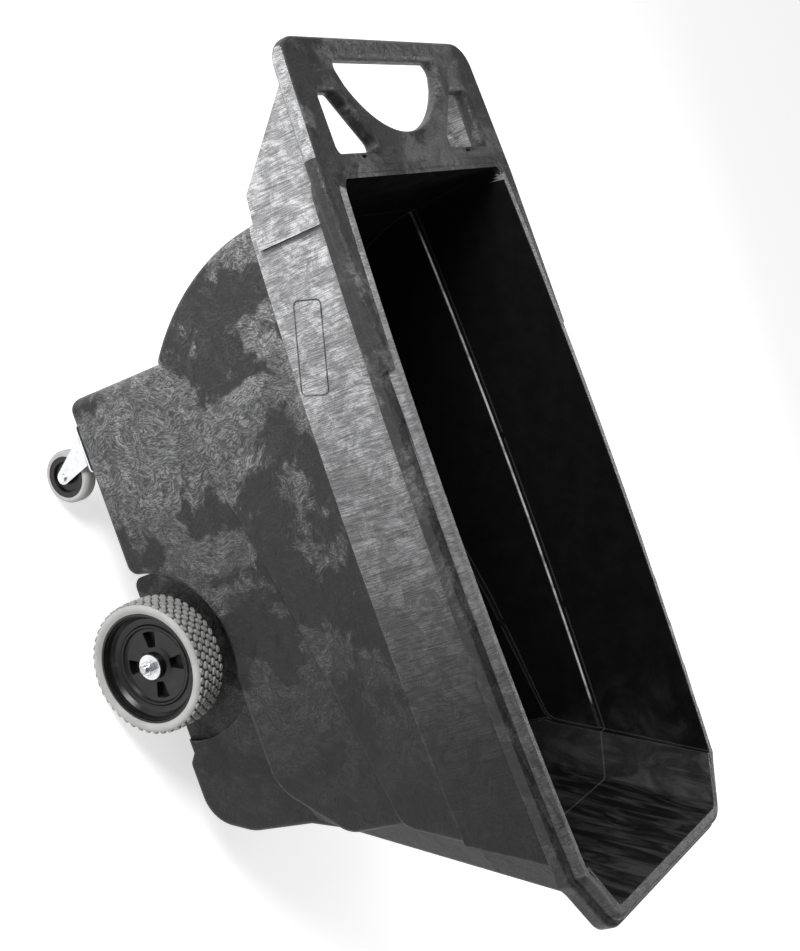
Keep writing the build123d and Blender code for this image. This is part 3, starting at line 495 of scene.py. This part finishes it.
for side, tag in ((1, "left"), (-1, "right")):
    section = tyre_carcass()
    verts, faces = revolve_rings(section, TYRE_STEPS)
    carcass = len(faces)
    # carcass faces across the tread, between the blocks, take the near-black painted shade
    marks_of = [2 if 11 <= i % len(section) <= 16 else 0 for i in range(carcass)]
    tread_blocks(verts, faces)
    marks_of += [1] * (len(faces) - carcass)
    tyre = make_mesh(f"tyre_{tag}", verts, faces, [tyre_side, tyre_tread, tyre_groove_shaded], marks_of)
    for face in list(tyre.data.polygons)[carcass:]:
        face.use_smooth = False
    tyre.location = (WHEEL_X, side * WHEEL_Y, WHEEL_Z)
    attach(tyre, f"wheel_{tag}")
    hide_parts(f"wheel_tyre_{tag}")


# ---------------------------------------------------------------- hubs, casters and metalwork
# Glossy black moulded hubs, zinc-plated forks, plates and fasteners, cold drawn axle steel,
# nylon bushes and a black nylon axle clamp: each with its own grain and handling marks.
def gloss_group():
    tree, _, p, out = new_group("gloss_black")
    dust = ramp(tree, noise(tree, p, 60.0, 5.0, 0.6), 0.52, 0.75)
    fine = noise(tree, p, 700.0, 2.0)
    colour = mix_colour(tree, dust, (0.006, 0.006, 0.006), (0.022, 0.022, 0.022))
    close_group(tree, out, colour, ramp(tree, dust, 0.0, 1.0, 0.33, 0.46), times(tree, fine, 0.00006))
    return tree


def metal_group():
    tree, given, p, out = new_group("bare_metal", [
        ("Low", "NodeSocketColor"), ("High", "NodeSocketColor"), ("Grain", "NodeSocketVector")])
    cloud = noise(tree, p, 95.0, 5.0, 0.6)
    brushed = noise(tree, stretch(tree, p, given["Grain"]), 1.0, 3.0, 0.6)
    spots = ramp(tree, noise(tree, p, 240.0, 3.0, 0.7), 0.62, 0.74)
    colour = mix_colour(tree, ramp(tree, cloud, 0.3, 0.7), given["Low"], given["High"])
    colour = mix_colour(tree, times(tree, spots, 0.3), colour, (0.3, 0.29, 0.26))
    close_group(tree, out, colour, ramp(tree, brushed, 0.3, 0.7, 0.2, 0.38),
                times(tree, brushed, 0.00008))
    return tree


def nylon_group():
    tree, given, p, out = new_group("nylon", [("Low", "NodeSocketColor"), ("High", "NodeSocketColor")])
    cloud = noise(tree, p, 45.0, 5.0, 0.6)
    fine = noise(tree, p, 650.0, 3.0)
    colour = mix_colour(tree, ramp(tree, cloud, 0.3, 0.7), given["Low"], given["High"])
    close_group(tree, out, colour, ramp(tree, fine, 0.3, 0.7, 0.42, 0.62), times(tree, fine, 0.0001))
    return tree


metal, moulded_nylon = metal_group(), nylon_group()
hub_black = new_material("hub_black", gloss_group(), Specular_IOR_Level=0.4)
zinc = new_material("zinc_plate", metal, {"Low": (0.62, 0.63, 0.65), "High": (0.78, 0.79, 0.8),
                                          "Grain": (90.0, 500.0, 500.0)}, Metallic=1.0)
steel = new_material("drawn_steel", metal, {"Low": (0.42, 0.42, 0.43), "High": (0.56, 0.56, 0.57),
                                            "Grain": (700.0, 60.0, 700.0)}, Metallic=1.0)
caster_rubber = rubber_finish("caster_rubber", (0.33, 0.33, 0.33), (0.44, 0.44, 0.43),
                              (0.55, 0.55, 0.54))
nylon = new_material("bush_nylon", moulded_nylon, {"Low": (0.62, 0.6, 0.54), "High": (0.74, 0.72, 0.66)})
black_nylon = new_material("clamp_nylon", moulded_nylon, {"Low": (0.012, 0.012, 0.012),
                                                          "High": (0.035, 0.035, 0.036)})

FINISH = [("wheel_hub", hub_black, "black_hub"), ("caster_hub", hub_black, "black_hub"),
          ("wheel_tyre", tyre_side, "grey_tyre"), ("caster_tyre", caster_rubber, "caster_rubber"),
          ("wheel_bush", nylon, "bush_plastic"), ("caster_bush", nylon, "bush_plastic"),
          ("main_axle", steel, "axle_steel"), ("axle_spacer", steel, "axle_steel"),
          ("axle_clamp", black_nylon, "clamp_plastic")]
for name, obj in nodes.items():
    if name in MOULDED:
        continue
    finish, slot = next(((m, s) for key, m, s in FINISH if name.startswith(key)), (zinc, "zinc_steel"))
    obj.data.materials.clear()
    obj.data.materials.append(finish)


# ---------------------------------------------------------------- floor, light and camera
# A plain white studio: pale floor, one broad soft light from the handle end and the near side,
# weaker ones opposite and overhead, and a long lens looking down on the open side.
FLOOR_HALF = 14
floor_mat = new_material("studio_floor", Base_Color=(0.86, 0.86, 0.86), Roughness=0.9,
                         Specular_IOR_Level=0.0, Emission_Color=(1.0, 1.0, 1.0),
                         Emission_Strength=0.62)
floor = make_mesh("studio_floor", [(-FLOOR_HALF, -FLOOR_HALF, 0), (FLOOR_HALF, -FLOOR_HALF, 0),
                                   (FLOOR_HALF, FLOOR_HALF, 0), (-FLOOR_HALF, FLOOR_HALF, 0)],
                  [(0, 1, 2, 3)], [floor_mat])


def soft_light(name, place, aim, size, power):
    data = bpy.data.lights.new(name, "AREA")
    data.shape = "RECTANGLE"
    data.size, data.size_y = size
    data.energy = power
    data.spread = math.pi
    obj = bpy.data.objects.new(name, data)
    obj.location = place
    obj.rotation_euler = (Vector(aim) - Vector(place)).to_track_quat("-Z", "Y").to_euler()
    bpy.context.scene.collection.objects.link(obj)


soft_light("key_light", (-1.7, -1.9, 1.7), (-0.35, 0.0, 0.55), (1.1, 0.9), 70.0)
soft_light("top_light", (-0.2, 0.0, 3.4), (-0.2, 0.0, 0.4), (2.6, 1.6), 26.0)
soft_light("far_light", (0.6, 3.0, 2.0), (0.0, 0.0, 0.5), (1.8, 1.2), 26.0)

world = bpy.data.worlds.new("studio_world")
world.use_nodes = True
background = world.node_tree.nodes["Background"]
background.inputs["Color"].default_value = (1.0, 1.0, 1.0, 1.0)
background.inputs["Strength"].default_value = 0.3
bpy.context.scene.world = world
bpy.context.scene.view_settings.view_transform = "Standard"

camera_data = bpy.data.cameras.new("camera")
camera_data.sensor_width = 36.0
camera_data.lens = 66.16
camera_data.clip_end = 60.0
camera = bpy.data.objects.new("camera", camera_data)
camera.matrix_world = Matrix(((0.3374, -0.9413, -0.0139, -0.0899),
                              (0.4865, 0.1870, -0.8535, -2.8107),
                              (0.8059, 0.2812, 0.5210, 2.2932),
                              (0.0, 0.0, 0.0, 1.0)))
bpy.context.scene.collection.objects.link(camera)
bpy.context.scene.camera = camera
